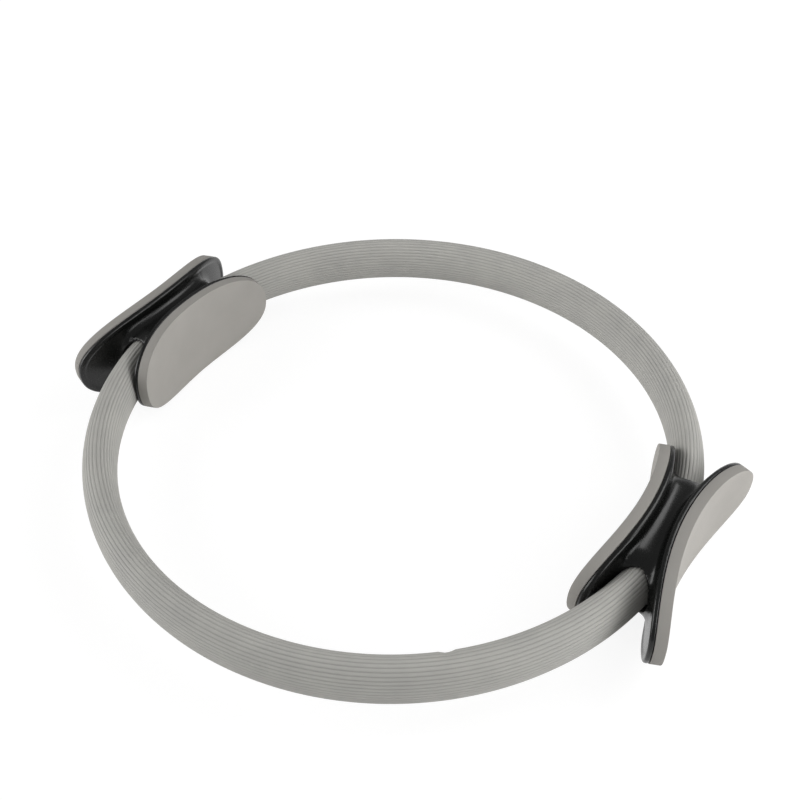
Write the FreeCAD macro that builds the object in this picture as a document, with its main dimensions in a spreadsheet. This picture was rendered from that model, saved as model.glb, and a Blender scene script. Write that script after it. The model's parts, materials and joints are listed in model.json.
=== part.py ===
import FreeCAD, Part
import math
import os
import Sketcher

# Pilates ring: two padded handles on a flexible hoop of two bands, each band inside a foam sleeve.
# Millimetres.  X runs through both handles, Y from the front arc to the rear arc, Z up.
# The origin is the centre of the ring, at mid height.

# Driving dimensions

SIZES = {
    # hoop
    "ring_diameter": 380.0,          # outside of the sleeves
    "sleeve_width": 19.7,            # oval section, measured along the ring's radius
    "sleeve_height": 32.2,           # oval section, measured along Z
    "sleeve_insertion": 2.5,         # how far a sleeve's end goes into a saddle's mouth
    "sleeve_end_room": 0.5,          # between a sleeve's end and the flared outer plate
    "sleeve_mid_gap": 0.3,           # between the two lengths of a sleeve, half way round
    "band_thickness": 3.0,
    "band_height": 22.0,
    "band_clearance": 0.2,           # between a band and the slot in its sleeve
    "band_end_gap": 2.0,             # between the ends of the two bands, inside a handle
    # saddle of a handle
    "saddle_wall": 2.5,
    "mouth_clearance": 0.9,          # between a sleeve and the saddle's bore
    "seam_gap": 0.1,                 # between the two half frames of a handle
    # plates and pads
    "inner_plate_gap": 0.95,         # between a sleeve and the inner plate that it lies along
    "outer_plate_gap": 2.0,          # between a band and the outer plate, at the handle's middle
    "inner_plan_radius": 168.0,      # inner pad's face, hollow towards the ring's centre
    "outer_plan_radius": 178.0,      # outer pad's face, hollow towards the outside
    "pad_thickness": 6.2,
    "glue_gap": 0.2,                 # adhesive film between a pad and its plate
    "plate_thickness": 2.4,
    "plate_margin": 0.6,             # plate's edge beyond its pad
    "inner_pad_half_length": 64.2,
    "inner_pad_half_height": 29.0,
    "inner_pad_end_radius": 22.5,
    "outer_pad_half_length": 72.7,
    "outer_pad_half_height": 30.0,
    "outer_pad_end_radius": 22.0,
    "flat_half_run": 14.0,           # half of the straight run along a plate's top and bottom
    # screws that hold the half frames and the bands' ends together
    "near_screw_share": 0.29,        # of the way from the handle's middle to a sleeve's end
    "far_screw_share": 0.7,          # of the same way
    "screw_radius": 1.75,
    "screw_tip_room": 1.6,           # between a near screw's tip and the inner plate
    "screw_head_radius": 3.2,
    "screw_head_height": 1.9,
    "screw_sink": 0.5,               # head's top below the pad's seat
    "screw_clearance": 0.05,         # around the shank in the frames
    "band_hole_clearance": 0.4,      # around the shank in a band's end
    "boss_wall": 2.4,                # around a screw's hole
    "boss_gap": 0.3,                 # between a boss and the band it carries
    "overrun": 6.0,                  # how far a cutting shape runs past what it cuts
}

doc = FreeCAD.newDocument("pilates_ring")
sheet = doc.addObject("Spreadsheet::Sheet", "Sizes")
for row, (alias, size) in enumerate(SIZES.items(), start=1):
    sheet.set(f"A{row}", alias)
    sheet.set(f"B{row}", str(size))
    sheet.setAlias(f"B{row}", alias)
doc.recompute()

# Sizes worked out from the driving dimensions, as expressions on the sheet

RING_RADIUS = "((Sizes.ring_diameter - Sizes.sleeve_width) / 2)"
BAND_INSIDE = f"({RING_RADIUS} - Sizes.band_thickness / 2)"
BAND_OUTSIDE = f"({RING_RADIUS} + Sizes.band_thickness / 2)"
SEAT_DEPTH = "(Sizes.pad_thickness + Sizes.glue_gap)"
HANDLE_LAYERS = f"({SEAT_DEPTH} + Sizes.plate_thickness)"
INNER_REACH = f"(Sizes.sleeve_width / 2 + Sizes.inner_plate_gap + {HANDLE_LAYERS})"
OUTER_REACH = f"(Sizes.band_thickness / 2 + Sizes.outer_plate_gap + {HANDLE_LAYERS})"
INNER_AXIS_X = f"({RING_RADIUS} - {INNER_REACH} - Sizes.inner_plan_radius)"
OUTER_AXIS_X = f"({RING_RADIUS} + {OUTER_REACH} + Sizes.outer_plan_radius)"
INNER_SEAT_RADIUS = f"(Sizes.inner_plan_radius + {SEAT_DEPTH})"
OUTER_SEAT_RADIUS = f"(Sizes.outer_plan_radius + {SEAT_DEPTH})"
TALL = "(2 * (Sizes.outer_pad_half_height + Sizes.inner_pad_half_height + Sizes.overrun))"

# A sleeve ends where the outer plate's flare still leaves it room: where a circle just outside the sleeve
# meets the plate's ring side.  Offsets are from the handle's middle, on the ring's centreline.
OUTER_BACK_RADIUS = f"({OUTER_SEAT_RADIUS} + Sizes.plate_thickness)"
ROOM_RADIUS = f"({RING_RADIUS} + Sizes.sleeve_width / 2 + Sizes.sleeve_end_room)"
MEETING_X = f"(({OUTER_AXIS_X} ^ 2 + {ROOM_RADIUS} ^ 2 - {OUTER_BACK_RADIUS} ^ 2) / (2 * {OUTER_AXIS_X}))"
SLEEVE_END = f"(sqrt({ROOM_RADIUS} ^ 2 - {MEETING_X} ^ 2) * {RING_RADIUS} / {ROOM_RADIUS})"
MOUTH = f"({SLEEVE_END} + Sizes.sleeve_insertion)"

PLATE_LENGTHS = {
    "inner": "(Sizes.inner_pad_half_length + Sizes.plate_margin)",
    "outer": "(Sizes.outer_pad_half_length + Sizes.plate_margin)",
}
NEAR_SCREW = f"(Sizes.near_screw_share * {SLEEVE_END})"
FAR_SCREW = f"(Sizes.far_screw_share * {SLEEVE_END})"
SCREW_OFFSETS = {
    "near_front": f"(-{NEAR_SCREW})",
    "near_rear": NEAR_SCREW,
    "far_front": f"(-{FAR_SCREW})",
    "far_rear": FAR_SCREW,
}
SCREW_LENGTH = (
    f"(Sizes.sleeve_width / 2 + Sizes.inner_plate_gap + {OUTER_REACH} - {SEAT_DEPTH}"
    " - Sizes.screw_sink - Sizes.screw_head_height - Sizes.screw_tip_room)"
)
BOSS_RADIUS = "(Sizes.screw_radius + Sizes.screw_clearance + Sizes.boss_wall)"

Z_AXIS = FreeCAD.Vector(0, 0, 1)
Y_AXIS = FreeCAD.Vector(0, 1, 0)
X_AXIS = FreeCAD.Vector(1, 0, 0)
DIAGONAL = FreeCAD.Vector(1, 1, 1)
FACING_X = FreeCAD.Rotation(DIAGONAL, 120)     # a flat form's X, Y and normal become Y, Z and X
STANDING = FreeCAD.Rotation(DIAGONAL, 240)     # a flat form's X and Y become Z and X
AGAINST_X = FreeCAD.Rotation(Y_AXIS, -90)      # an upright form lies along -X
HALF_TURN = FreeCAD.Rotation(Z_AXIS, 180)


def value(expression):
    """The number that an expression on the sheet gives."""
    result = sheet.evalExpression(expression)
    return getattr(result, "Value", result)


def bind(item, **expressions):
    """Tie an object's properties to the sheet; a double underscore stands for a dot."""
    for name, expression in expressions.items():
        item.setExpression(name.replace("__", "."), expression)
    return item


def upright(name, radius, height, x="0"):
    """A vertical cylinder, centred in height, with its axis at x."""
    item = doc.addObject("Part::Cylinder", name)
    bind(item, Radius=radius, Height=height, Placement__Base__x=x)
    bind(item, Placement__Base__z=f"-({height}) / 2")
    return item


def along_x(name, radius, length, x, y):
    """A cylinder that starts at x, y and runs towards -X."""
    item = doc.addObject("Part::Cylinder", name)
    item.Placement = FreeCAD.Placement(FreeCAD.Vector(), AGAINST_X)
    return bind(item, Radius=radius, Height=length, Placement__Base__x=x, Placement__Base__y=y)


def cut(name, base, tool):
    item = doc.addObject("Part::Cut", name)
    item.Base = base
    item.Tool = tool
    return item


def common(name, base, tool):
    item = doc.addObject("Part::Common", name)
    item.Base = base
    item.Tool = tool
    return item


def fuse(name, pieces):
    item = doc.addObject("Part::MultiFuse", name)
    item.Shapes = pieces
    return item


def ring_of_section(name, half_width, half_height, span):
    """An oval section on the ring's centreline, turned about Z through span degrees from +X."""
    section = doc.addObject("Part::Ellipse", f"{name}_section")
    section.Placement = FreeCAD.Placement(FreeCAD.Vector(), STANDING)
    bind(section, MajorRadius=half_height, MinorRadius=half_width, Placement__Base__x=RING_RADIUS)
    item = doc.addObject("Part::Revolution", name)
    item.Source = section
    item.Axis = Z_AXIS
    item.Solid = True
    return bind(item, Angle=span)


def hoop(name, inside, outside, height):
    """A flat hoop about Z between two radii."""
    outer = upright(f"{name}_outside", outside, height)
    inner = upright(f"{name}_inside", inside, f"({height} + 2 * Sizes.overrun)")
    return cut(name, outer, inner)


# Outline of a plate or pad: straight top and bottom runs, shoulder arcs and round ends

def outline(name, half_length, half_height, end_radius):
    length = value(half_length)
    height = value(half_height)
    run = value("Sizes.flat_half_run")
    end = value(end_radius)
    reach = length - end
    shoulder = ((reach - run) ** 2 + height ** 2 - end ** 2) / (2 * (height - end))
    lean = math.atan2(shoulder - height, reach - run)

    sketch = doc.addObject("Sketcher::SketchObject", name)
    sketch.Placement = FreeCAD.Placement(FreeCAD.Vector(), FACING_X)

    def arc(centre_x, centre_y, radius, first, last):
        circle = Part.Circle(FreeCAD.Vector(centre_x, centre_y, 0), Z_AXIS, radius)
        return sketch.addGeometry(Part.ArcOfCircle(circle, first, last))

    def line(first_x, last_x, at_y):
        return sketch.addGeometry(
            Part.LineSegment(FreeCAD.Vector(first_x, at_y, 0), FreeCAD.Vector(last_x, at_y, 0))
        )

    quarter = math.pi / 2
    drop = height - shoulder
    top = line(run, -run, height)
    left_top = arc(-run, drop, shoulder, quarter, math.pi - lean)
    left_end = arc(-reach, 0, end, math.pi - lean, math.pi + lean)
    left_bottom = arc(-run, -drop, shoulder, math.pi + lean, 3 * quarter)
    bottom = line(-run, run, -height)
    right_bottom = arc(run, -drop, shoulder, 3 * quarter, 2 * math.pi - lean)
    right_end = arc(reach, 0, end, -lean, lean)
    right_top = arc(run, drop, shoulder, lean, quarter)

    start, finish, centre, axis = 1, 2, 3, -1
    loop = [top, left_top, left_end, left_bottom, bottom, right_bottom, right_end, right_top]
    for here, after in zip(loop, loop[1:] + loop[:1]):
        sketch.addConstraint(Sketcher.Constraint("Tangent", here, finish, after, start))
    sketch.addConstraint(Sketcher.Constraint("Horizontal", top))
    sketch.addConstraint(Sketcher.Constraint("Horizontal", bottom))
    sketch.addConstraint(Sketcher.Constraint("PointOnObject", left_end, centre, axis))
    sketch.addConstraint(Sketcher.Constraint("PointOnObject", right_end, centre, axis))

    centre_reach = f"({half_length} - {end_radius})"
    driven = [
        ("DistanceY", (axis, start, top, start), half_height),
        ("DistanceY", (bottom, start, axis, start), half_height),
        ("DistanceX", (axis, start, top, start), "Sizes.flat_half_run"),
        ("DistanceX", (top, finish, axis, start), "Sizes.flat_half_run"),
        ("DistanceX", (bottom, start, axis, start), "Sizes.flat_half_run"),
        ("DistanceX", (axis, start, bottom, finish), "Sizes.flat_half_run"),
        ("DistanceX", (axis, start, right_end, centre), centre_reach),
        ("DistanceX", (left_end, centre, axis, start), centre_reach),
        ("Radius", (left_end,), end_radius),
        ("Radius", (right_end,), end_radius),
    ]
    for kind, places, size in driven:
        index = sketch.addConstraint(Sketcher.Constraint(kind, *places, value(size)))
        sketch.setExpression(f"Constraints[{index}]", size)
    return sketch


def curved_panel(name, sketch, near_radius, far_radius, axis_x):
    """The outline carried along X and cut to the layer between two upright cylinders on one axis."""
    solid = doc.addObject("Part::Extrusion", f"{name}_block")
    solid.Base = sketch
    solid.DirMode = "Custom"
    solid.Dir = X_AXIS
    solid.Solid = True
    bind(solid, LengthFwd=f"{RING_RADIUS} + Sizes.outer_plan_radius")
    far = upright(f"{name}_far", far_radius, TALL, axis_x)
    near = upright(f"{name}_near", near_radius, f"({TALL} + 2 * Sizes.overrun)", axis_x)
    return common(name, solid, cut(f"{name}_layer", far, near))


# Hoop: two half bands and four lengths of sleeve

def pivot_angle(offset):
    """Angle about Z, from a handle's middle, at which the centreline is this far from the X axis."""
    return f"asin(({offset}) / ({RING_RADIUS}))"


def make_band(label, turn):
    """Half a hoop, from handle to handle, with the holes that the handles' screws pass through."""
    end_angle = pivot_angle("Sizes.band_end_gap / 2")
    strip = hoop(f"{label}_strip", BAND_INSIDE, BAND_OUTSIDE, "Sizes.band_height")
    bind(doc.getObject(f"{label}_strip_outside"), Angle=f"180 deg - 2 * {end_angle}")
    doc.getObject(f"{label}_strip_outside").Placement.Rotation = FreeCAD.Rotation(Z_AXIS, value(end_angle))
    holes = []
    for place in ("near_rear", "far_rear"):
        holes.append(along_x(
            f"{label}_{place}_hole",
            "Sizes.screw_radius + Sizes.band_hole_clearance",
            "Sizes.ring_diameter + 2 * Sizes.overrun",
            "Sizes.ring_diameter / 2 + Sizes.overrun",
            SCREW_OFFSETS[place],
        ))
    band = cut(label, strip, fuse(f"{label}_holes", holes))
    band.Placement = FreeCAD.Placement(FreeCAD.Vector(), turn)
    return band


def make_sleeve(label, turn):
    """A quarter of the ring's foam cover, from inside a saddle's mouth to half way round."""
    start_angle = pivot_angle(SLEEVE_END)
    half_gap_angle = pivot_angle("Sizes.sleeve_mid_gap / 2")
    foam = ring_of_section(
        f"{label}_foam", "Sizes.sleeve_width / 2", "Sizes.sleeve_height / 2",
        f"90 deg - {start_angle} - {half_gap_angle}",
    )
    slot = hoop(
        f"{label}_slot",
        f"({BAND_INSIDE} - Sizes.band_clearance)", f"({BAND_OUTSIDE} + Sizes.band_clearance)",
        "(Sizes.band_height + 2 * Sizes.band_clearance)",
    )
    sleeve = cut(label, foam, slot)
    start_turn = FreeCAD.Rotation(Z_AXIS, value(start_angle))
    sleeve.Placement = FreeCAD.Placement(FreeCAD.Vector(), turn.multiply(start_turn))
    return sleeve


# Handle: two half frames, two pads and four screws, made at +X and turned to its own side

def seat_x(offset):
    """Where the outer plate's pad seat lies along X, this far from the handle's middle."""
    return f"({OUTER_AXIS_X} - sqrt({OUTER_SEAT_RADIUS} ^ 2 - ({offset}) ^ 2))"


def make_pad(label, layer, turn):
    axis_x = {"inner": INNER_AXIS_X, "outer": OUTER_AXIS_X}[layer]
    face_radius = f"Sizes.{layer}_plan_radius"
    back_radius = f"(Sizes.{layer}_plan_radius + Sizes.pad_thickness)"
    sketch = outline(
        f"{label}_outline", f"Sizes.{layer}_pad_half_length",
        f"Sizes.{layer}_pad_half_height", f"Sizes.{layer}_pad_end_radius",
    )
    pad = curved_panel(label, sketch, face_radius, back_radius, axis_x)
    pad.Placement = FreeCAD.Placement(FreeCAD.Vector(), turn)
    return pad


def make_plate(label, layer):
    axis_x = {"inner": INNER_AXIS_X, "outer": OUTER_AXIS_X}[layer]
    seat_radius = {"inner": INNER_SEAT_RADIUS, "outer": OUTER_SEAT_RADIUS}[layer]
    sketch = outline(
        f"{label}_outline", PLATE_LENGTHS[layer],
        f"(Sizes.{layer}_pad_half_height + Sizes.plate_margin)",
        f"(Sizes.{layer}_pad_end_radius + Sizes.plate_margin)",
    )
    return curved_panel(label, sketch, seat_radius, f"({seat_radius} + Sizes.plate_thickness)", axis_x)


def make_saddle(label):
    """An oval tube on the ring's centreline, open at both mouths."""
    reach = pivot_angle(MOUTH)
    bore_width = "(Sizes.sleeve_width / 2 + Sizes.mouth_clearance)"
    bore_height = "(Sizes.sleeve_height / 2 + Sizes.mouth_clearance)"
    skin = ring_of_section(
        f"{label}_skin", f"{bore_width} + Sizes.saddle_wall", f"{bore_height} + Sizes.saddle_wall",
        f"2 * {reach}",
    )
    bore = ring_of_section(f"{label}_bore", bore_width, bore_height, f"4 * {reach}")
    half_back = FreeCAD.Rotation(Z_AXIS, -value(reach))
    skin.Placement.Rotation = half_back
    bore.Placement.Rotation = half_back.multiply(half_back)
    return cut(label, skin, bore)


def make_frame(label, layer, turn):
    """Half of a handle: a plate, its half of the saddle and the bosses for the screws."""
    inner = layer == "inner"
    axis_x = INNER_AXIS_X if inner else OUTER_AXIS_X
    seat_radius = INNER_SEAT_RADIUS if inner else OUTER_SEAT_RADIUS
    plate = make_plate(f"{label}_plate", layer)
    beyond_plate = upright(f"{label}_beyond", f"{seat_radius} + Sizes.plate_thickness / 2", TALL, axis_x)

    saddle = make_saddle(f"{label}_saddle")
    half_gap = "Sizes.seam_gap / 2"
    if inner:
        inside_seam = upright(f"{label}_seam", f"{RING_RADIUS} - {half_gap}", TALL)
        half_saddle = common(f"{label}_half", saddle, inside_seam)
    else:
        inside_seam = upright(f"{label}_seam", f"{RING_RADIUS} + {half_gap}", TALL)
        half_saddle = cut(f"{label}_half", saddle, inside_seam)
    trimmed_saddle = cut(f"{label}_trimmed", half_saddle, beyond_plate)

    posts = []
    holes = []
    for place, offset in SCREW_OFFSETS.items():
        top = seat_x(offset)
        posts.append(along_x(
            f"{label}_{place}_post", BOSS_RADIUS, f"{INNER_REACH} + {OUTER_REACH}", top, offset,
        ))
        shank = "Sizes.screw_radius + Sizes.screw_clearance"
        depth = f"2 * Sizes.screw_sink + Sizes.screw_head_height + {SCREW_LENGTH}"
        holes.append(along_x(f"{label}_{place}_hole", shank, depth, top, offset))
        if not inner:
            recess = along_x(
                f"{label}_{place}_recess", "Sizes.screw_head_radius + Sizes.screw_clearance",
                "Sizes.overrun + Sizes.screw_sink + Sizes.screw_head_height",
                f"{top} + Sizes.overrun", offset,
            )
            holes.append(recess)
    all_posts = fuse(f"{label}_posts", posts)
    if inner:
        band_side = upright(f"{label}_band_side", f"{BAND_INSIDE} - Sizes.boss_gap", TALL)
        near_bosses = common(f"{label}_near_bosses", all_posts, band_side)
    else:
        band_side = upright(f"{label}_band_side", f"{BAND_OUTSIDE} + Sizes.boss_gap", TALL)
        near_bosses = cut(f"{label}_near_bosses", all_posts, band_side)
    bosses = cut(f"{label}_bosses", near_bosses, beyond_plate)

    solid = fuse(f"{label}_solid", [plate, trimmed_saddle, bosses])
    frame = cut(label, solid, fuse(f"{label}_holes", holes))
    frame.Placement = FreeCAD.Placement(FreeCAD.Vector(), turn)
    return frame


def make_screws(label, turn):
    screws = []
    for place, offset in SCREW_OFFSETS.items():
        head_top = f"{seat_x(offset)} - Sizes.screw_sink"
        head = along_x(
            f"{label}_{place}_head", "Sizes.screw_head_radius", "Sizes.screw_head_height",
            head_top, offset,
        )
        shank = along_x(
            f"{label}_{place}_shank", "Sizes.screw_radius",
            f"Sizes.screw_head_height + {SCREW_LENGTH}", head_top, offset,
        )
        screws.append(fuse(f"{label}_{place}", [head, shank]))
    group = doc.addObject("Part::Compound", label)
    group.Links = screws
    group.Placement = FreeCAD.Placement(FreeCAD.Vector(), turn)
    return group


# Assembly

UNTURNED = FreeCAD.Rotation()
FLIP_X = FreeCAD.Rotation(X_AXIS, 180)
FLIP_Y = FreeCAD.Rotation(Y_AXIS, 180)

nodes = [
    make_band("rear_band", UNTURNED),
    make_band("front_band", FLIP_X),
    make_sleeve("rear_right_sleeve", UNTURNED),
    make_sleeve("rear_left_sleeve", FLIP_Y),
    make_sleeve("front_right_sleeve", FLIP_X),
    make_sleeve("front_left_sleeve", HALF_TURN),
]
for side, side_turn in (("right", UNTURNED), ("left", HALF_TURN)):
    for panel in ("inner", "outer"):
        nodes.append(make_frame(f"{side}_{panel}_frame", panel, side_turn))
        nodes.append(make_pad(f"{side}_{panel}_pad", panel, side_turn))
    nodes.append(make_screws(f"{side}_screws", side_turn))
doc.recompute()

# Every object has to be sound before anything is written

for item in doc.Objects:
    if "Invalid" in item.State or "Error" in item.State:
        raise RuntimeError(f"{item.Name} did not build: {item.State}")
for node in nodes:
    if node.Shape.isNull() or not node.Shape.isValid():
        raise RuntimeError(f"{node.Label} has no valid shape")

mouth = value(MOUTH)
ring_radius = value(RING_RADIUS)
print(f"mouth pivot at x {math.sqrt(ring_radius ** 2 - mouth ** 2):.4f}, y {mouth:.4f}")

os.makedirs("parts", exist_ok=True)
for node in nodes:
    node.Shape.exportStep(f"parts/{node.Label}.step")
    box = node.Shape.BoundBox
    print(
        f"{node.Label}: {len(node.Shape.Solids)} solids, {node.Shape.Volume / 1000:.2f} cm3,"
        f" x {box.XMin:.1f} to {box.XMax:.1f}, y {box.YMin:.1f} to {box.YMax:.1f},"
        f" z {box.ZMin:.1f} to {box.ZMax:.1f}"
    )
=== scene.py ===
import itertools
import json
import math
from contextlib import contextmanager
from dataclasses import dataclass

import bmesh
import bpy
import numpy as np
from mathutils import Matrix, Vector


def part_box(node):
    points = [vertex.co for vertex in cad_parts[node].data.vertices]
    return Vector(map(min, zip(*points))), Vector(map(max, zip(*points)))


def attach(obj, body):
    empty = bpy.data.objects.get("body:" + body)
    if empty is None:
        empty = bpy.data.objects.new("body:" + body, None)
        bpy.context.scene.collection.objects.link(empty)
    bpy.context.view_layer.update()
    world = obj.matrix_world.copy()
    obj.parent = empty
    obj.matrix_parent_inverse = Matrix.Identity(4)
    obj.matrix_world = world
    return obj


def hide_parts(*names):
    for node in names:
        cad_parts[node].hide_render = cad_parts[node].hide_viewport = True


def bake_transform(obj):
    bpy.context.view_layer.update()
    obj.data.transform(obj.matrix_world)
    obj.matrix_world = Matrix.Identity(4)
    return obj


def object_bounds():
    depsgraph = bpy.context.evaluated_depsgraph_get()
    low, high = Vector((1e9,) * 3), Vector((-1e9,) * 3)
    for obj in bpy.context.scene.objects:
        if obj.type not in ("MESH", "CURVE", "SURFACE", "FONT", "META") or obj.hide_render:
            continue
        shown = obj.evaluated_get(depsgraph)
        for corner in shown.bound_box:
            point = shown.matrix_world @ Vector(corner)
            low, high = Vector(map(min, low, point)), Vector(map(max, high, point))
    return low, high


# Pilates ring, in metres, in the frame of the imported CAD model: X runs through both handles, Y from
# the front arc to the rear arc, Z up.  The origin is the ring's centre, at mid height.

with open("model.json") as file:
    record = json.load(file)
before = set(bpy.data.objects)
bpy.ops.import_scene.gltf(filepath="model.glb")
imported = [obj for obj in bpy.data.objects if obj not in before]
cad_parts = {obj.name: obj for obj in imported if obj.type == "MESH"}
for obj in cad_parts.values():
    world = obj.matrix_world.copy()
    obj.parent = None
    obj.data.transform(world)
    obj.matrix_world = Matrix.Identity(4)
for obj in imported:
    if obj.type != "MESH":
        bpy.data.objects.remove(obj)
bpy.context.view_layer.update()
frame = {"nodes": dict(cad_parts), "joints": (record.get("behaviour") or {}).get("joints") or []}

# Hoop: an oval foam sleeve, ribbed lengthwise, round a flat band

RING_RADIUS = 0.18015            # of the centreline
SLEEVE_HALF_WIDTH = 0.00985
SLEEVE_HALF_HEIGHT = 0.0161
SLEEVE_END_Y = 0.0330            # how far from the handle's middle a sleeve ends
SLEEVE_STEP = 0.004              # along the ring
OVAL_OVERSAMPLING = 20           # trial points for each point of the oval
RIB_COUNT = 36
POINTS_PER_RIB = 8
RIB_DEPTH = 0.00038
RIB_SHARPNESS = 0.75             # under 1, ribs are rounded and the grooves between them narrow
NICK_ANGLE = math.radians(-48.65)          # round Z, from the right handle
NICK_ROUND_SECTION = math.radians(128.0)   # round the oval, from its outer side
NICK_HALF_LENGTH = 0.0047
NICK_HALF_SPREAD = 0.0070        # round the oval
NICK_DEPTH = 0.0013
NICK_STEP = 0.0004               # along the ring, near the nick
BAND_HALF_THICKNESS = 0.0015
BAND_HALF_HEIGHT = 0.011
BAND_CORNER = 0.0004
BAND_SLOT_ROOM = 0.0002          # between a band and its slot in the sleeve
BAND_SLOT_FLARE = 0.001          # more room at a sleeve's end, which swings round the band's end
BAND_END_Y = 0.001               # how far from the handle's middle a band ends
BAND_PIVOT_ROOM = 0.0005         # from a pivot to each of the two lengths of band that turn there
TUBE_SHARP_ANGLE = math.radians(40)        # sleeves and bands: edges sharper than this stay crisp

# Handle: two bent plates with a rim, joined by a saddle; each plate carries a pad

PAD_THICKNESS = 0.0062
GLUE_GAP = 0.0002
PAD_ROUND = 0.0003               # along both of a pad's edges
PAD_OUTLINE_POINTS = 240
OUTLINE_OVERSAMPLING = 40        # trial points for each point of the outline
PAD_FACE_SHARES = tuple(np.linspace(0.08, 1.0, 14))   # of the outline, for the face's rings
PAD_ROUND_SHARES = (0.2, 0.4, 0.6, 0.8, 1.0)          # of a quarter turn, for the edge's rings
PAD_FACE_ROUND_RINGS = 2         # rings of the edge that still have the face's colour
PLATE_MARGIN = -0.0004           # plate's edge beyond its pad
PLATE_THICKNESS = 0.0024
SEAT_ROUND = 0.0011              # along a plate's edge, on its pad's side
PLATE_ROUND = 0.0008             # along the same edge, on the hoop's side
RIM_WIDTH = 0.0036
RIM_LIP = 0.0005                 # rim above the plate, on the hoop's side
RIM_ROUND = 0.0011
RIM_FILLET = 0.0012
SADDLE_HALF_WIDTH = 0.01325
SADDLE_HALF_HEIGHT = 0.0196
SADDLE_FILLETS = {"inner": 0.014, "outer": 0.012}     # between the saddle and each plate
SHOULDER_ARC = 0.0265            # along the ring, from where the saddle narrows towards its mouth
NOSE_END_ARC = 0.0368
NOSE_DROP = 0.0024
LIP_FLARE = 0.003                # how much further a mouth reaches at mid height than at its crest
MOUTH_ROUND = 0.0005
BORE_HALF_WIDTH = 0.01075
BORE_HALF_HEIGHT = 0.017
SOCKET_ARC = 0.030               # along the ring, from where the bore follows the swinging sleeve
SLEEVE_CLEARANCE = 0.0004
SEAM_GAP = 0.00004
SCREW_YS = (-0.02369, -0.00981, 0.00981, 0.02369)     # as in the CAD model
POST_RADIUS = 0.0042
SCREW_HOLE_RADIUS = 0.0018
SCREW_TIP_ROOM = 0.0016
HEAD_RECESS_RADIUS = 0.00325
HEAD_RECESS_DEPTH = 0.0024
BAND_ROOM = 0.0018               # from a band's middle to the posts that hold it
MOULDING_SHARP_ANGLE = math.radians(62)    # edges sharper than this stay crisp
HANDLE_TURNS = {"right": Matrix.Identity(4), "left": Matrix.Rotation(math.pi, 4, "Z")}

# How a handle's surface is found

HANDLE_STEP = 0.0008             # cells of the grid
GRID_MARGIN = 0.005
LEAST_OVAL_LEVEL = 0.05          # of an oval's size; nearer its middle the level is taken as this
LEAST_OUTLINE_SLOPE = 0.2        # over half the height; keeps distances finite near the middle
SETTLE_ROUNDS = 3
SETTLE_PROBES_PER_STEP = 20      # how short a step measures the field's slope
SETTLE_LEAST_SLOPE = 0.3         # keeps a move short where the field is flat

# Camera, from the photograph

IMAGE_PIXELS = 800
FOCAL_PIXELS = 998.1
SENSOR_MM = 36.0
CAMERA_AZIMUTH = math.radians(33.0)
CAMERA_ELEVATION = math.radians(44.56)
CAMERA_DISTANCE = 0.6271
CAMERA_CLIP_START = 0.01
AIM_YAW = math.radians(0.403)
AIM_PITCH = math.radians(1.411)
CAMERA_ROLL = math.radians(-0.37)

# Stage: a white floor and a pale surround

FLOOR_RADIUS = 6.0
FLOOR_SIDES = 96
FLOOR_GAP = 0.0002
FLOOR_COLOUR = (0.92, 0.92, 0.92, 1)
FLOOR_GLOW = 1.1
FLOOR_GLOW_SHARE = 0.8           # of the floor's look under the ring; the rest takes shadows
FLOOR_FADE = (0.4, 1.2)          # from the ring's centre, where the glow's share rises to all of it
SURROUND_FADE = (0.02, 0.28)     # heights, on a unit sphere, between which the surround dims
SURROUND_LOW, SURROUND_HIGH = 0.5, 0.29

# Materials

NOISE_RANGE = (0.3, 0.7)         # where most of a noise texture's values lie

# From the frame

joints = {joint["name"]: joint for joint in frame["joints"]}
MOUTH_X, MOUTH_Y = (abs(place) for place in joints["squeeze"]["pos_m"][:2])
SWING = math.radians(joints["squeeze"]["range_deg"][1])


# Outlines

def even_loop(loop, count):
    """Points at equal spacing round a closed loop."""
    closed = np.vstack([loop, loop[:1]])
    travel = np.concatenate([[0], np.cumsum(np.linalg.norm(np.diff(closed, axis=0), axis=1))])
    stops = np.linspace(0, travel[-1], count, endpoint=False)
    return np.stack([np.interp(stops, travel, closed[:, axis]) for axis in range(2)], axis=1)


def unit(vectors):
    return vectors / np.linalg.norm(vectors, axis=1, keepdims=True)


def signed_power(values, power):
    return np.sign(values) * np.abs(values) ** power


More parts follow.
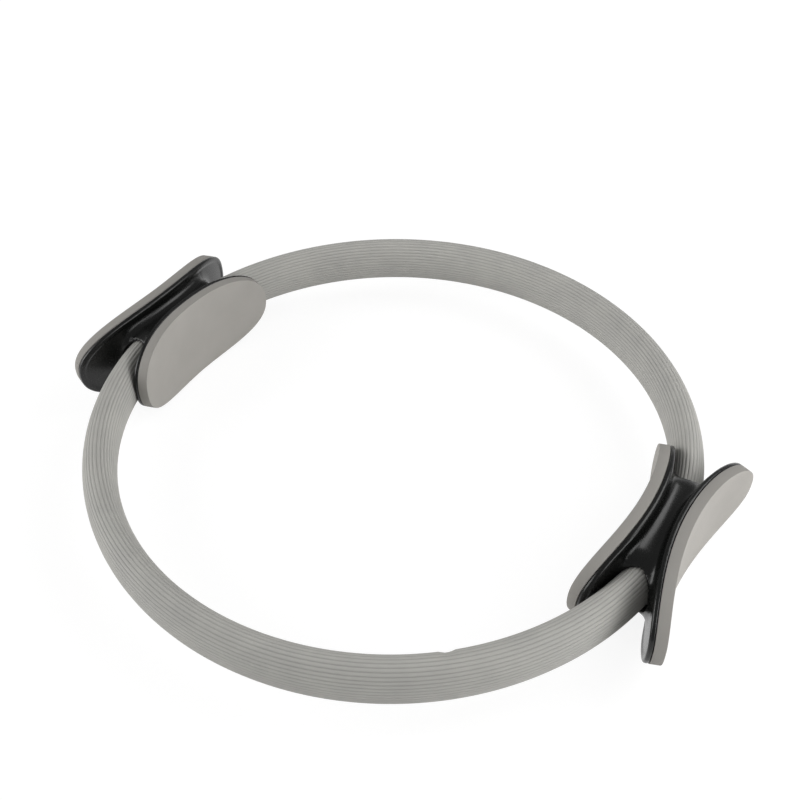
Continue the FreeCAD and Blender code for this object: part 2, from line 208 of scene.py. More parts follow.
@dataclass(frozen=True)
class Sheet:
    """A plate and its pad, bent round an upright axis.  Depth counts from the pad's seat towards
    the hoop, and along is measured on the seat, from the handle's middle."""

    axis_x: float
    outward: int            # 1 where the sheet lies on the +X side of its axis, -1 on the -X side
    seat_radius: float
    half_length: float      # of the pad, along the seat
    half_height: float
    length_power: float     # of the pad's outline, a superellipse
    height_power: float

    def unroll(self, x, y):
        """Depth and along."""
        across = self.outward * (x - self.axis_x)
        return np.hypot(across, y) - self.seat_radius, np.arctan2(y, across) * self.seat_radius

    def place(self, along, z, depth):
        turn = along / self.seat_radius
        radius = self.seat_radius + depth
        x = self.axis_x + self.outward * radius * np.cos(turn)
        return np.stack([x, radius * np.sin(turn), z], axis=-1)

    def edge(self, along, z, margin):
        """Distance outside the outline, grown by a margin; below zero inside it."""
        length, height = self.half_length + margin, self.half_height + margin
        reach, rise = np.abs(along) / length, np.abs(z) / height
        level = reach ** self.length_power + rise ** self.height_power - 1
        slope = np.hypot(
            self.length_power / length * reach ** (self.length_power - 1),
            self.height_power / height * rise ** (self.height_power - 1),
        )
        return level / np.maximum(slope, LEAST_OUTLINE_SLOPE / height)

    def outline(self, count):
        """Evenly spaced points of the pad's outline, and the normals there."""
        turn = np.linspace(0, 2 * math.pi, OUTLINE_OVERSAMPLING * count, endpoint=False)
        along = self.half_length * signed_power(np.cos(turn), 2 / self.length_power)
        rise = self.half_height * signed_power(np.sin(turn), 2 / self.height_power)
        points = even_loop(np.stack([along, rise], axis=1), count)
        tangents = np.roll(points, -1, axis=0) - np.roll(points, 1, axis=0)
        return points, unit(np.stack([tangents[:, 1], -tangents[:, 0]], axis=1))


SHEETS = {
    "inner": Sheet(
        axis_x=-0.00745, outward=1, seat_radius=0.1744, half_length=0.0658, half_height=0.02893,
        length_power=2.89, height_power=2.34,
    ),
    "outer": Sheet(
        axis_x=0.37045, outward=-1, seat_radius=0.1844, half_length=0.0738, half_height=0.03006,
        length_power=2.41, height_power=2.39,
    ),
}


# Meshes

def new_mesh(name, vertices, faces):
    mesh = bpy.data.meshes.new(name)
    mesh.from_pydata(vertices, [], faces)
    return mesh


def new_object(name, data):
    item = bpy.data.objects.new(name, data)
    bpy.context.scene.collection.objects.link(item)
    return item


def shade(mesh, sharp_angle):
    """Smooth shading, with edges sharper than an angle left crisp."""
    mesh.shade_smooth()
    mesh.set_sharp_from_angle(angle=sharp_angle)


def set_point_values(mesh, name, values):
    """Gives each of a mesh's points a number, for its material."""
    mesh.attributes.new(name, "FLOAT", "POINT").data.foreach_set("value", values)


@contextmanager
def edited(mesh):
    """A mesh opened for editing, and written back at the end with its faces turned outwards."""
    solid = bmesh.new()
    solid.from_mesh(mesh)
    yield solid
    bmesh.ops.recalc_face_normals(solid, faces=solid.faces[:])
    solid.to_mesh(mesh)
    solid.free()


def lattice_quads(rows, columns, flip=False):
    """Faces between rows of points, each row a closed loop."""
    row, column = np.meshgrid(np.arange(rows - 1), np.arange(columns), indexing="ij")
    after = (column + 1) % columns
    corners = [row * columns + column, row * columns + after,
               (row + 1) * columns + after, (row + 1) * columns + column]
    quads = np.stack(corners, axis=-1).reshape(-1, 4)
    return quads[:, ::-1] if flip else quads


def close_ends(mesh):
    """Fills the flat ends of a tube, round its bore."""
    with edited(mesh) as solid:
        open_edges = [edge for edge in solid.edges if edge.is_boundary]
        middle = sum(edge.verts[0].co.x for edge in open_edges) / len(open_edges)
        for side in (-1, 1):
            end = [edge for edge in open_edges if side * (edge.verts[0].co.x - middle) > 0]
            bmesh.ops.triangle_fill(solid, use_beauty=True, edges=end)


# Hoop

def oval_section():
    """Evenly spaced points of the sleeve's oval, counter-clockwise from its outer side, and the
    normals there."""
    count = RIB_COUNT * POINTS_PER_RIB
    turn = np.linspace(0, 2 * math.pi, OVAL_OVERSAMPLING * count, endpoint=False)
    oval = [SLEEVE_HALF_WIDTH * np.cos(turn), SLEEVE_HALF_HEIGHT * np.sin(turn)]
    points = even_loop(np.stack(oval, axis=1), count)
    return points, unit(points / np.array([SLEEVE_HALF_WIDTH, SLEEVE_HALF_HEIGHT]) ** 2)


def band_section(room):
    """A flat strip's section with small chamfers, counter-clockwise in (radial, height)."""
    width, height = BAND_HALF_THICKNESS + room, BAND_HALF_HEIGHT + room
    narrow, low = width - BAND_CORNER, height - BAND_CORNER
    return np.array([
        (width, -low), (width, low), (narrow, height), (-narrow, height),
        (-width, low), (-width, -low), (-narrow, -height), (narrow, -height),
    ])


def ring_points(angles, radial, heights):
    """Sections in (radial, height) carried round the ring's centreline."""
    radius = RING_RADIUS + radial
    x = np.cos(angles)[:, None] * radius
    y = np.sin(angles)[:, None] * radius
    return np.stack([x, y, np.broadcast_to(heights, x.shape)], axis=-1)


def arc_angles(side, end_y, fine_at=None):
    """Stops round the front (-1) or rear (1) arc, from the left handle to the right one, closer
    together near the angle of a nick."""
    end = math.asin(end_y / RING_RADIUS)
    count = math.ceil((math.pi - 2 * end) * RING_RADIUS / SLEEVE_STEP)
    stops = np.linspace(math.pi - end, end, count + 1)
    if fine_at is not None:
        reach = 2 * NICK_HALF_LENGTH / RING_RADIUS
        fine = np.arange(-reach, reach, NICK_STEP / RING_RADIUS) + fine_at
        stops = np.concatenate([stops[np.abs(stops - fine_at) > reach], fine])
        stops = np.sort(stops)[::-1]
    return side * stops


def nick_depths(section, angles):
    """How far the nick sinks a sleeve's points: a V along the ring that fades round the oval."""
    count = len(section)
    girth = np.linalg.norm(np.roll(section, -1, axis=0) - section, axis=1).sum()
    turn = np.arctan2(section[:, 1] / SLEEVE_HALF_HEIGHT, section[:, 0] / SLEEVE_HALF_WIDTH)
    centre = np.argmin(np.abs(turn - NICK_ROUND_SECTION))
    round_section = (np.arange(count) - centre) * girth / count
    lengthwise = np.abs(angles - NICK_ANGLE) * RING_RADIUS
    notch = np.maximum(1 - lengthwise / NICK_HALF_LENGTH, 0)
    fade = np.maximum(1 - (round_section / NICK_HALF_SPREAD) ** 2, 0)
    return NICK_DEPTH * notch[:, None] * fade[None, :]


def slot_points(side, sleeve_angles):
    """A sleeve's slot for the band, wider from the pivots to the sleeve's ends."""
    section = band_section(BAND_SLOT_ROOM)
    between_pivots = arc_angles(side, MOUTH_Y)
    angles = np.concatenate([sleeve_angles[:1], between_pivots, sleeve_angles[-1:]])
    radial = np.tile(section[:, 0], (len(angles), 1))
    radial[[0, -1]] += BAND_SLOT_FLARE * np.sign(section[:, 0])
    return ring_points(angles, radial, section[:, 1])


def make_sleeve(name, side, nicked):
    section, normals = oval_section()
    angles = arc_angles(side, SLEEVE_END_Y, abs(NICK_ANGLE) if nicked else None)
    phase = np.arange(len(section)) / POINTS_PER_RIB
    crest = np.abs(np.cos(math.pi * phase)) ** RIB_SHARPNESS
    sink = np.tile(RIB_DEPTH * (1 - crest), (len(angles), 1))
    if nicked:
        sink += nick_depths(section, angles)
    radial, heights = (section[:, axis] - sink * normals[:, axis] for axis in range(2))
    outside = ring_points(angles, radial, heights)
    inside = slot_points(side, angles)

    outside_faces = lattice_quads(*outside.shape[:2], flip=side < 0)
    inside_faces = lattice_quads(*inside.shape[:2], flip=side > 0) + sink.size
    vertices = np.concatenate([outside.reshape(-1, 3), inside.reshape(-1, 3)])
    faces = np.concatenate([outside_faces, inside_faces])
    mesh = new_mesh(name, vertices.tolist(), faces.tolist())
    shade(mesh, TUBE_SHARP_ANGLE)
    # each point's place on its rib, 0 in a groove and 1 on a crest; the material paints shade into
    # the grooves from it
    ribs = np.zeros(len(vertices), np.float32)
    ribs[:sink.size] = np.tile(crest, len(angles))
    set_point_values(mesh, "rib", ribs)
    close_ends(mesh)
    return new_object(name, mesh)


def make_strip(name, angles):
    """A length of the flat band."""
    section = band_section(0.0)
    points = ring_points(angles, section[:, 0], section[:, 1])
    faces = lattice_quads(len(angles), len(section))
    mesh = new_mesh(name, points.reshape(-1, 3).tolist(), faces.tolist())
    shade(mesh, TUBE_SHARP_ANGLE)
    close_ends(mesh)
    return new_object(name, mesh)


# Handle mouldings: a distance field, below zero inside, meshed where it is zero

def smooth_union(first, second, reach):
    mix = np.maximum(reach - np.abs(first - second), 0) / reach
    return np.minimum(first, second) - mix * mix * reach / 4


def rounded_meeting(first, second, rounding):
    """What lies within both, with the edge between them rounded."""
    first, second = first + rounding, second + rounding
    outside = np.hypot(np.maximum(first, 0), np.maximum(second, 0))
    return outside + np.minimum(np.maximum(first, second), 0) - rounding


def layer(depth, edge, thickness, rounding):
    """A sheet from its seat to a depth, with its edge rounded on both sides."""
    hoop_side = rounded_meeting(depth - thickness, edge, rounding)
    return rounded_meeting(hoop_side, -depth, SEAT_ROUND)


def oval_distance(radial, z, half_width, half_height):
    level = np.maximum(np.hypot(radial / half_width, z / half_height), LEAST_OVAL_LEVEL)
    slope = np.hypot(radial / half_width ** 2, z / half_height ** 2) / level
    return (level - 1) / np.maximum(slope, LEAST_OUTLINE_SLOPE / half_height)


def sleeve_distance(x, y, z):
    return oval_distance(
        np.hypot(x, y) - RING_RADIUS, z,
        SLEEVE_HALF_WIDTH + SLEEVE_CLEARANCE, SLEEVE_HALF_HEIGHT + SLEEVE_CLEARANCE,
    )


def plate_distances(sheet, depth, along, z):
    """A plate, and the plate with its rim."""
    edge = sheet.edge(along, z, PLATE_MARGIN)
    rim_edge = np.abs(edge + RIM_WIDTH / 2) - RIM_WIDTH / 2
    plate = layer(depth, edge, PLATE_THICKNESS, PLATE_ROUND)
    rim = layer(depth, rim_edge, PLATE_THICKNESS + RIM_LIP, RIM_ROUND)
    return plate, smooth_union(plate, rim, RIM_FILLET)


def saddle_distance(across, arc, z):
    """The saddle's skin, narrower towards its mouths, which end in lips."""
    fall = np.clip((arc - SHOULDER_ARC) / (NOSE_END_ARC - SHOULDER_ARC), 0, 1)
    drop = NOSE_DROP * fall ** 2
    skin = oval_distance(across, z, SADDLE_HALF_WIDTH - drop, SADDLE_HALF_HEIGHT - drop)
    lip = NOSE_END_ARC + LIP_FLARE * np.maximum(1 - (z / SLEEVE_HALF_HEIGHT) ** 2, 0)
    return rounded_meeting(skin, arc - lip, MOUTH_ROUND)


def room_distance(x, y, z, radial, across, arc):
    """The room inside the saddle: a bore from mouth to mouth, sockets that follow the ring where
    the sleeves end, and the sleeves themselves, at rest and at the limit of their swing."""
    past_mouth = arc - math.asin(MOUTH_Y / RING_RADIUS) * RING_RADIUS
    before_socket = SOCKET_ARC - arc
    bore = oval_distance(across, z, BORE_HALF_WIDTH, BORE_HALF_HEIGHT)
    bore = np.maximum(bore, past_mouth)
    socket = oval_distance(radial, z, BORE_HALF_WIDTH, BORE_HALF_HEIGHT)
    socket = np.maximum(socket, np.maximum(past_mouth, before_socket))
    side_x, side_y = x - MOUTH_X, np.abs(y) - MOUTH_Y
    swung_x = MOUTH_X + side_x * math.cos(SWING) - side_y * math.sin(SWING)
    swung_y = MOUTH_Y + side_x * math.sin(SWING) + side_y * math.cos(SWING)
    swung = np.maximum(sleeve_distance(swung_x, swung_y, z), -side_y)
    sleeve = np.maximum(sleeve_distance(x, y, z), before_socket)
    return np.minimum.reduce([bore, socket, sleeve, swung])


def handle_field(points):
    """Distance outside the right handle's moulding."""
    x, y, z = points.T
    radial = np.hypot(x, y) - RING_RADIUS
    arc = np.abs(np.arctan2(y, x)) * RING_RADIUS
    sagitta = RING_RADIUS - MOUTH_X     # the saddle runs straight from mouth to mouth
    across = radial + sagitta * np.maximum(1 - (y / MOUTH_Y) ** 2, 0)

    depths, plates, rimmed = {}, {}, {}
    for name, sheet in SHEETS.items():
        depths[name], along = sheet.unroll(x, y)
        plates[name], rimmed[name] = plate_distances(sheet, depths[name], along, z)
    from_seats = np.minimum(depths["inner"], depths["outer"])

    moulding = np.maximum(saddle_distance(across, arc, z), PLATE_THICKNESS / 2 - from_seats)
    for name, reach in SADDLE_FILLETS.items():
        moulding = smooth_union(moulding, rimmed[name], reach)
    moulding = np.maximum(moulding, -from_seats)
    moulding = np.maximum(moulding, -room_distance(x, y, z, radial, across, arc))
    moulding = np.minimum.reduce([moulding, plates["inner"], plates["outer"]])

    from_screw = np.hypot(np.min(np.abs(y[:, None] - np.array(SCREW_YS)), axis=1), z)
    posts = np.maximum(from_screw - POST_RADIUS, BAND_ROOM - np.abs(radial))
    moulding = np.minimum(moulding, np.maximum(posts, -from_seats))
    hole_end = PLATE_THICKNESS + SCREW_TIP_ROOM
    holes = np.maximum(from_screw - SCREW_HOLE_RADIUS, hole_end - depths["inner"])
    recesses = np.maximum(from_screw - HEAD_RECESS_RADIUS, depths["outer"] - HEAD_RECESS_DEPTH)
    return np.maximum(moulding, -np.minimum(holes, recesses))


def surface_net(field, low, step):
    """Quads over the zero surface of a sampled field: one vertex in each cell that the surface
    crosses, and one face round each grid edge that it crosses."""
    corners = list(itertools.product((0, 1), repeat=3))
    inside = field < 0
    count = sum(
        inside[tuple(slice(start, size - 1 + start) for start, size in zip(corner, field.shape))]
        .astype(np.int8)
        for corner in corners
    )
    crossed = (count > 0) & (count < len(corners))
    cells = np.argwhere(crossed)
    index = np.full(crossed.shape, -1)
    index[crossed] = np.arange(len(cells))

    total = np.zeros((len(cells), 3))
    hits = np.zeros(len(cells))
    for axis in range(3):
        for corner in (corner for corner in corners if corner[axis] == 0):
            near = cells + corner
            far = near.copy()
            far[:, axis] += 1
            near_value, far_value = field[tuple(near.T)], field[tuple(far.T)]
            cut = (near_value < 0) != (far_value < 0)
            place = near[cut].astype(float)
            place[:, axis] += near_value[cut] / (near_value[cut] - far_value[cut])
            total[cut] += place
            hits[cut] += 1
    vertices = low + step * total / hits[:, None]

    quads = []
    for axis in range(3):
        one, two = (axis + 1) % 3, (axis + 2) % 3
        lower = [slice(None)] * 3
        upper = [slice(None)] * 3
        lower[axis], upper[axis] = slice(None, -1), slice(1, None)
        edges = np.argwhere(inside[tuple(lower)] != inside[tuple(upper)])
        leaving = inside[tuple(edges.T)]
        loop = []
        for back_one, back_two in ((0, 0), (1, 0), (1, 1), (0, 1)):
            cell = edges.copy()
            cell[:, one] -= back_one
            cell[:, two] -= back_two
            loop.append(index[tuple(cell.T)])
        loop = np.stack(loop, axis=1)
        quads.append(np.where(leaving[:, None], loop, loop[:, ::-1]))
    return vertices, np.concatenate(quads)


def settle(points, field, step):
    """Moves points along the field's slope onto its zero surface, half a step at a time at most."""
    probe = step / SETTLE_PROBES_PER_STEP
    for _ in range(SETTLE_ROUNDS):
        slope = np.stack([
            (field(points + probe * way) - field(points - probe * way)) / (2 * probe)
            for way in np.eye(3)
        ], axis=1)
        size = np.maximum(np.linalg.norm(slope, axis=1), SETTLE_LEAST_SLOPE)
        shift = np.clip(field(points) / size, -step / 2, step / 2)
        points = points - shift[:, None] * slope / size[:, None]
    return points


def handle_surface():
    """The right handle's whole surface, as vertices and quads."""
    boxes = [np.array(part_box(f"right_{name}_frame")) for name in SHEETS]
    low = np.minimum(*(box[0] for box in boxes)) - GRID_MARGIN
    high = np.maximum(*(box[1] for box in boxes)) + GRID_MARGIN
    axes = [np.arange(first, last, HANDLE_STEP) for first, last in zip(low, high)]
    grid = np.stack(np.meshgrid(*axes, indexing="ij"), axis=-1)
    field = handle_field(grid.reshape(-1, 3)).reshape(grid.shape[:3])
    vertices, quads = surface_net(field, low, HANDLE_STEP)
    return settle(vertices, handle_field, HANDLE_STEP), quads


def make_moulding(name, surface, inner, turn):
    """The part of a handle inside or outside the seam on the ring's centreline, closed there.  It
    is cut with the ring unrolled, where the seam is flat."""
    vertices, quads = surface
    unrolled = vertices.copy()
    unrolled[:, 0] = np.hypot(vertices[:, 0], vertices[:, 1])
    mesh = new_mesh(name, unrolled.tolist(), quads.tolist())
    seam = RING_RADIUS + (-SEAM_GAP if inner else SEAM_GAP) / 2
    with edited(mesh) as half:
        cut = bmesh.ops.bisect_plane(
            half, geom=half.verts[:] + half.edges[:] + half.faces[:],
            plane_co=(seam, 0, 0), plane_no=(1, 0, 0), clear_outer=inner, clear_inner=not inner,
        )
        edges = [item for item in cut["geom_cut"] if isinstance(item, bmesh.types.BMEdge)]
        bmesh.ops.triangle_fill(half, use_beauty=True, edges=edges)
    for vertex in mesh.vertices:
        vertex.co.x = math.sqrt(vertex.co.x ** 2 - vertex.co.y ** 2)
    mesh.transform(turn)
    shade(mesh, MOULDING_SHARP_ANGLE)
    return new_object(name, mesh)


# Pads

def make_pad(name, sheet, turn):
    """A pad, as rings round its outline from the middle of its face to the middle of its back."""
    outline, normals = sheet.outline(PAD_OUTLINE_POINTS)
    face, back = -GLUE_GAP - PAD_THICKNESS, -GLUE_GAP
    rings = []

    def ring(inset, depth, share=1.0):
        place = (outline - inset * normals) * share
        rings.append(sheet.place(place[:, 0], place[:, 1], np.full(len(place), depth)))

    round_angles = [share * math.pi / 2 for share in PAD_ROUND_SHARES]
    for share in PAD_FACE_SHARES:
        ring(PAD_ROUND, face, share)
    for angle in round_angles:
        ring(PAD_ROUND * (1 - math.sin(angle)), face + PAD_ROUND * (1 - math.cos(angle)))
    for angle in round_angles:
        ring(PAD_ROUND * (1 - math.cos(angle)), back - PAD_ROUND * (1 - math.sin(angle)))
    for share in reversed(PAD_FACE_SHARES):
        ring(PAD_ROUND, back, share)
    centres = [sheet.place(np.zeros(()), np.zeros(()), depth)[None] for depth in (face, back)]
    vertices = np.concatenate(rings + centres)

    count = len(outline)
    face_centre, back_centre = len(vertices) - 2, len(vertices) - 1
    last_ring = (len(rings) - 1) * count
    faces = lattice_quads(len(rings), count).tolist()
    for here in range(count):
        after = (here + 1) % count
        faces.append([face_centre, after, here])
        faces.append([back_centre, last_ring + here, last_ring + after])
    mesh = new_mesh(name, vertices.tolist(), faces)

    cut = np.zeros(len(vertices), np.float32)
    first_cut = len(PAD_FACE_SHARES) + PAD_FACE_ROUND_RINGS
    cut[first_cut * count:(len(rings) - len(PAD_FACE_SHARES)) * count] = 1.0
    set_point_values(mesh, "cut", cut)
    with edited(mesh):
        pass    # only to turn its faces outwards
    mesh.transform(turn)
    mesh.shade_smooth()
    return new_object(name, mesh)


# Materials

class NodeTree:
    """Short ways to add and link the nodes of a material or a world."""

    def __init__(self, owner):
        owner.use_nodes = True
        self.tree = owner.node_tree

    def node(self, kind, **settings):
        item = self.tree.nodes.new(kind)
        for setting, value in settings.items():
            setattr(item, setting, value)
        return item

    def feed(self, target, source):
        """Links an input to another node's output, or sets it to a value."""
        if isinstance(source, bpy.types.NodeSocket):
            self.tree.links.new(source, target)
        else:
            target.default_value = source

    def combine(self, operation, first, second):
        """Two values added or multiplied, kept between 0 and 1."""
        item = self.node("ShaderNodeMath", operation=operation, use_clamp=True)
        self.feed(item.inputs[0], first)
        self.feed(item.inputs[1], second)
        return item.outputs[0]

    def carry(self, source, from_range, to_range, interpolation="LINEAR"):
        """A value, carried from one range to another."""
        item = self.node("ShaderNodeMapRange", interpolation_type=interpolation)
        limits = zip(("From Min", "From Max", "To Min", "To Max"), (*from_range, *to_range))
        for limit, value in limits:
            item.inputs[limit].default_value = value
        self.feed(item.inputs["Value"], source)
        return item.outputs["Result"]


class Material(NodeTree):
    """A Principled material whose colour, roughness and bump come from textures in the object's own
    space."""

    def __init__(self, name):
        self.material = bpy.data.materials.new(name)
        super().__init__(self.material)
        self.shader = self.tree.nodes["Principled BSDF"]
        self.coordinates = self.node("ShaderNodeTexCoord").outputs["Object"]

    def noise(self, scale, detail=3.0, stretch=None):
        place = self.coordinates
        if stretch is not None:
            mapping = self.node("ShaderNodeMapping")
            self.feed(mapping.inputs["Scale"], stretch)
            self.feed(mapping.inputs["Vector"], place)
            place = mapping.outputs["Vector"]
        item = self.node("ShaderNodeTexNoise")
        self.feed(item.inputs["Scale"], scale)
        self.feed(item.inputs["Detail"], detail)
        self.feed(item.inputs["Vector"], place)
        return item.outputs["Fac"]

    def attribute(self, name):
        return self.node("ShaderNodeAttribute", attribute_name=name).outputs["Fac"]

    def mix(self, factor, first, second, blend_type="MIX"):
        item = self.node("ShaderNodeMix", data_type="RGBA", blend_type=blend_type)
        colours = [socket for socket in item.inputs if socket.type == "RGBA"]
        self.feed(item.inputs[0], factor)
        self.feed(colours[0], first)
        self.feed(colours[1], second)
        return next(socket for socket in item.outputs if socket.type == "RGBA")

    def mottle(self, texture, dark, light):
        """A colour that wanders between two with a noise texture."""
        return self.mix(self.carry(texture, NOISE_RANGE, (0.0, 1.0)), dark, light)

    def darken(self, colour, factor):
        return self.mix(1.0, colour, factor, "MULTIPLY")

    def give(self, name, source):
        """Feeds one of the shader's inputs."""
        self.feed(self.shader.inputs[name], source)

    def roughen(self, texture, low, high):
        self.give("Roughness", self.carry(texture, NOISE_RANGE, (low, high)))

    def bump(self, height, strength, distance):
        item = self.node("ShaderNodeBump")
        self.feed(item.inputs["Strength"], strength)
        self.feed(item.inputs["Distance"], distance)
        self.feed(item.inputs["Height"], height)
        self.give("Normal", item.outputs["Normal"])


def srgb(red, green, blue):
    """A colour as it looks on screen, 0 to 255, as the linear values that a shader takes, by the
    sRGB curve."""
    levels = [channel / 255 for channel in (red, green, blue)]
    linear = [
        level / 12.92 if level <= 0.04045 else ((level + 0.055) / 1.055) ** 2.4 for level in levels
    ]
    return (*linear, 1.0)


def make_sleeve_material():
    """Matte foam, with painted shade that darkens the grooves between its ribs."""
    look = Material("sleeve_foam")
    colour = look.mottle(look.noise(scale=60.0), srgb(177, 176, 172), srgb(184, 183, 178))
    # painted shade: the colour falls to 0.78 of itself in the grooves, standing in for the shade
    # between the ribs
    painted_groove_shade = look.carry(look.attribute("rib"), from_range=(0.0, 0.8), to_range=(0.78, 1.0))
    look.give("Base Color", look.darken(colour, painted_groove_shade))
    grain = look.noise(scale=2600.0, detail=2.0)
    look.roughen(grain, low=0.78, high=0.92)
    look.bump(grain, strength=0.25, distance=0.0002)
    look.give("Specular IOR Level", 0.25)
    return look.material


def make_pad_material():
    """Speckled closed-cell foam, darker where it is cut."""
    look = Material("pad_foam")
    colour = look.mottle(look.noise(scale=35.0), srgb(168, 165, 160), srgb(174, 171, 166))
    grain = look.noise(scale=3200.0, detail=2.0)
    speck = look.carry(grain, from_range=NOISE_RANGE, to_range=(0.95, 1.0))
    wall = look.carry(look.attribute("cut"), from_range=(0.0, 1.0), to_range=(1.0, 0.8))
    look.give("Base Color", look.darken(look.darken(colour, speck), wall))
    look.roughen(grain, low=0.7, high=0.86)
    look.bump(grain, strength=0.2, distance=0.00015)
    look.give("Specular IOR Level", 0.3)
    return look.material


def make_plastic_material():
    """Satin black moulded plastic."""
    look = Material("handle_plastic")
    colour = look.mottle(look.noise(scale=50.0), srgb(12, 13, 12), srgb(17, 18, 17))
    look.give("Base Color", colour)
    grain = look.noise(scale=900.0, detail=4.0)
    look.roughen(grain, low=0.21, high=0.29)
    look.bump(grain, strength=0.06, distance=0.0002)
    look.give("Specular IOR Level", 0.4)
    return look.material


def make_band_material():
    """Glass fibres, streaked along the band."""
    look = Material("band")
    fibres = look.noise(scale=40.0, detail=4.0, stretch=(1.0, 1.0, 40.0))
    look.give("Base Color", look.mottle(fibres, srgb(176, 168, 128), srgb(214, 206, 170)))
    look.roughen(fibres, low=0.35, high=0.5)
    look.bump(fibres, strength=0.1, distance=0.0001)
    return look.material


def make_steel_material():
    look = Material("screw_steel")
    turning = look.noise(scale=1500.0)
    look.give("Base Color", look.mottle(turning, srgb(176, 177, 178), srgb(205, 206, 207)))
    look.roughen(turning, low=0.25, high=0.4)
    look.give("Metallic", 1.0)
    return look.material


sleeve_foam = make_sleeve_material()
pad_foam = make_pad_material()
handle_plastic = make_plastic_material()
band_composite = make_band_material()
screw_steel = make_steel_material()


# Assembly

def coat(item, material):
    item.data.materials.clear()
    item.data.materials.append(material)


def finish_piece(item, material):
    coat(item, material)
    return item


def make_arc(arc_name, side):
    """The sleeve and the band of the front (-1) or rear (1) arc."""

    sleeve = make_sleeve(f"{arc_name}_sleeve", side, nicked=side < 0)
    finish_piece(sleeve, sleeve_foam)
    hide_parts(f"{arc_name}_left_sleeve", f"{arc_name}_right_sleeve")
    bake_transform(sleeve)

    strip = make_strip(f"{arc_name}_strip", arc_angles(side, MOUTH_Y + BAND_PIVOT_ROOM))
    finish_piece(strip, band_composite)
    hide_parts(f"{arc_name}_band")
    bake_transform(strip)

    end_angle = math.asin(BAND_END_Y / RING_RADIUS)
    mouth_angle = math.asin((MOUTH_Y - BAND_PIVOT_ROOM) / RING_RADIUS)
    stops = np.linspace(mouth_angle, end_angle, math.ceil(MOUTH_Y / SLEEVE_STEP) + 1)
    for handle, angles in (("right", side * stops), ("left", side * (math.pi - stops))):
        tail = make_strip(f"{handle}_{arc_name}_strip_end", angles)
        finish_piece(tail, band_composite)
        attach(tail, f"{handle}_handle")


def make_handle(handle, surface, turn):
    """A handle's mouldings and pads, turned to its side of the ring, and its screws' finish."""
    for layer_name, sheet in SHEETS.items():
        inner = layer_name == "inner"
        moulding = make_moulding(f"{handle}_{layer_name}_moulding", surface, inner, turn)
        finish_piece(moulding, handle_plastic)
        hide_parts(f"{handle}_{layer_name}_frame")
        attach(moulding, f"{handle}_handle")

        pad = make_pad(f"{handle}_{layer_name}_foam", sheet, turn)
        finish_piece(pad, pad_foam)
        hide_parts(f"{handle}_{layer_name}_pad")
        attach(pad, f"{handle}_handle")

    coat(frame["nodes"][f"{handle}_screws"], screw_steel)


# Camera and stage

def direction(azimuth, elevation):
    """A way out from the ring's centre; azimuth counts from the front towards +X."""
    level = math.cos(elevation)
    return Vector((level * math.sin(azimuth), -level * math.cos(azimuth), math.sin(elevation)))


def right_and_above(ahead):
    right = ahead.cross(Vector((0, 0, 1))).normalized()
    return right, right.cross(ahead)


def make_camera():
    away = direction(CAMERA_AZIMUTH, CAMERA_ELEVATION)
    right, above = right_and_above(-away)
    ahead = (-away + math.tan(AIM_YAW) * right + math.tan(AIM_PITCH) * above).normalized()
    right, above = right_and_above(ahead)
    rolled_right = math.cos(CAMERA_ROLL) * right + math.sin(CAMERA_ROLL) * above
    rolled_up = rolled_right.cross(ahead)
    turn = Matrix((rolled_right, rolled_up, -ahead)).transposed().to_4x4()
    data = bpy.data.cameras.new("camera")
    data.sensor_width = SENSOR_MM
    data.lens = FOCAL_PIXELS / IMAGE_PIXELS * SENSOR_MM
    data.clip_start = CAMERA_CLIP_START
    camera = new_object("camera", data)
    camera.matrix_world = Matrix.Translation(CAMERA_DISTANCE * away) @ turn
    bpy.context.scene.camera = camera


def make_floor_material():
    """Matte to light, and glowing white to the camera, to glass and to gloss.  Near the ring a
    share of what they see is the matte floor, which takes shadows."""
    material = bpy.data.materials.new("floor")
    look = NodeTree(material)
    look.tree.nodes.clear()
    rays = look.node("ShaderNodeLightPath").outputs
    seen = look.combine("ADD", rays["Is Camera Ray"], rays["Is Glossy Ray"])
    seen = look.combine("ADD", seen, rays["Is Transmission Ray"])
    reach = look.node("ShaderNodeVectorMath", operation="LENGTH")
    look.feed(reach.inputs[0], look.node("ShaderNodeTexCoord").outputs["Object"])
    fade = look.carry(
        reach.outputs["Value"], FLOOR_FADE, (FLOOR_GLOW_SHARE, 1.0), interpolation="SMOOTHSTEP"
    )
    matte = look.node("ShaderNodeBsdfDiffuse")
    look.feed(matte.inputs["Color"], FLOOR_COLOUR)
    glow = look.node("ShaderNodeEmission")
    look.feed(glow.inputs["Strength"], FLOOR_GLOW)
    mix = look.node("ShaderNodeMixShader")
    look.feed(mix.inputs["Fac"], look.combine("MULTIPLY", seen, fade))
    look.feed(mix.inputs[1], matte.outputs[0])
    look.feed(mix.inputs[2], glow.outputs[0])
    look.feed(look.node("ShaderNodeOutputMaterial").inputs["Surface"], mix.outputs[0])
    return material


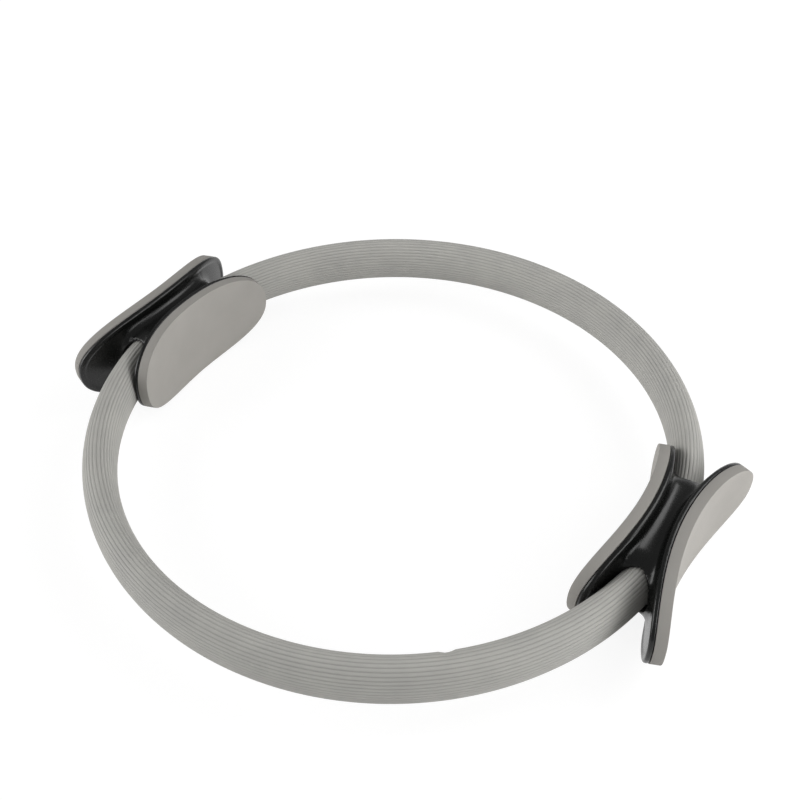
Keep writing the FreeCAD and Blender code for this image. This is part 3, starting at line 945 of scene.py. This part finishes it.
def make_floor():
    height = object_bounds()[0].z - FLOOR_GAP
    corners = [
        (FLOOR_RADIUS * math.cos(turn), FLOOR_RADIUS * math.sin(turn), height)
        for turn in np.linspace(0, 2 * math.pi, FLOOR_SIDES, endpoint=False)
    ]
    floor = new_object("floor", new_mesh("floor", corners, [list(range(FLOOR_SIDES))]))
    floor.data.materials.append(make_floor_material())


def make_surround():
    """White to the camera and through glass; to everything else brighter near the horizon than
    overhead."""
    world = bpy.data.worlds.new("surround")
    bpy.context.scene.world = world
    look = NodeTree(world)
    split = look.node("ShaderNodeSeparateXYZ")
    look.feed(split.inputs[0], look.node("ShaderNodeTexCoord").outputs["Generated"])
    level = look.carry(
        split.outputs["Z"], SURROUND_FADE, (SURROUND_LOW, SURROUND_HIGH), interpolation="SMOOTHSTEP"
    )
    rays = look.node("ShaderNodeLightPath").outputs
    seen = look.node("ShaderNodeMix")
    straight = look.combine("ADD", rays["Is Camera Ray"], rays["Is Transmission Ray"])
    look.feed(seen.inputs["Factor"], straight)
    look.feed(seen.inputs["A"], level)
    look.feed(seen.inputs["B"], 1.0)
    background = look.tree.nodes["Background"]
    look.feed(background.inputs["Color"], (1, 1, 1, 1))
    look.feed(background.inputs["Strength"], seen.outputs["Result"])


def make_lamp(name, azimuth, elevation, distance, size, energy):
    """A square soft box that faces the ring's centre; azimuth is measured from the camera, to its
    right, and both angles are in degrees."""
    away = direction(CAMERA_AZIMUTH + math.radians(azimuth), math.radians(elevation))
    data = bpy.data.lights.new(name, "AREA")
    data.size = size
    data.energy = energy
    lamp = new_object(name, data)
    lamp.location = distance * away
    lamp.rotation_mode = "QUATERNION"
    lamp.rotation_quaternion = away.to_track_quat("Z", "Y")


for arc_name, side in (("front", -1), ("rear", 1)):
    make_arc(arc_name, side)
right_surface = handle_surface()
for handle, turn in HANDLE_TURNS.items():
    make_handle(handle, right_surface, turn)

make_camera()
make_floor()
make_surround()
make_lamp("back_box", azimuth=108, elevation=41, distance=1.6, size=0.9, energy=8)
make_lamp("left_box", azimuth=-88, elevation=24, distance=2.0, size=1.4, energy=24)
make_lamp("right_box", azimuth=60, elevation=20, distance=1.0, size=0.7, energy=4.6)
bpy.context.scene.view_settings.view_transform = "Standard"
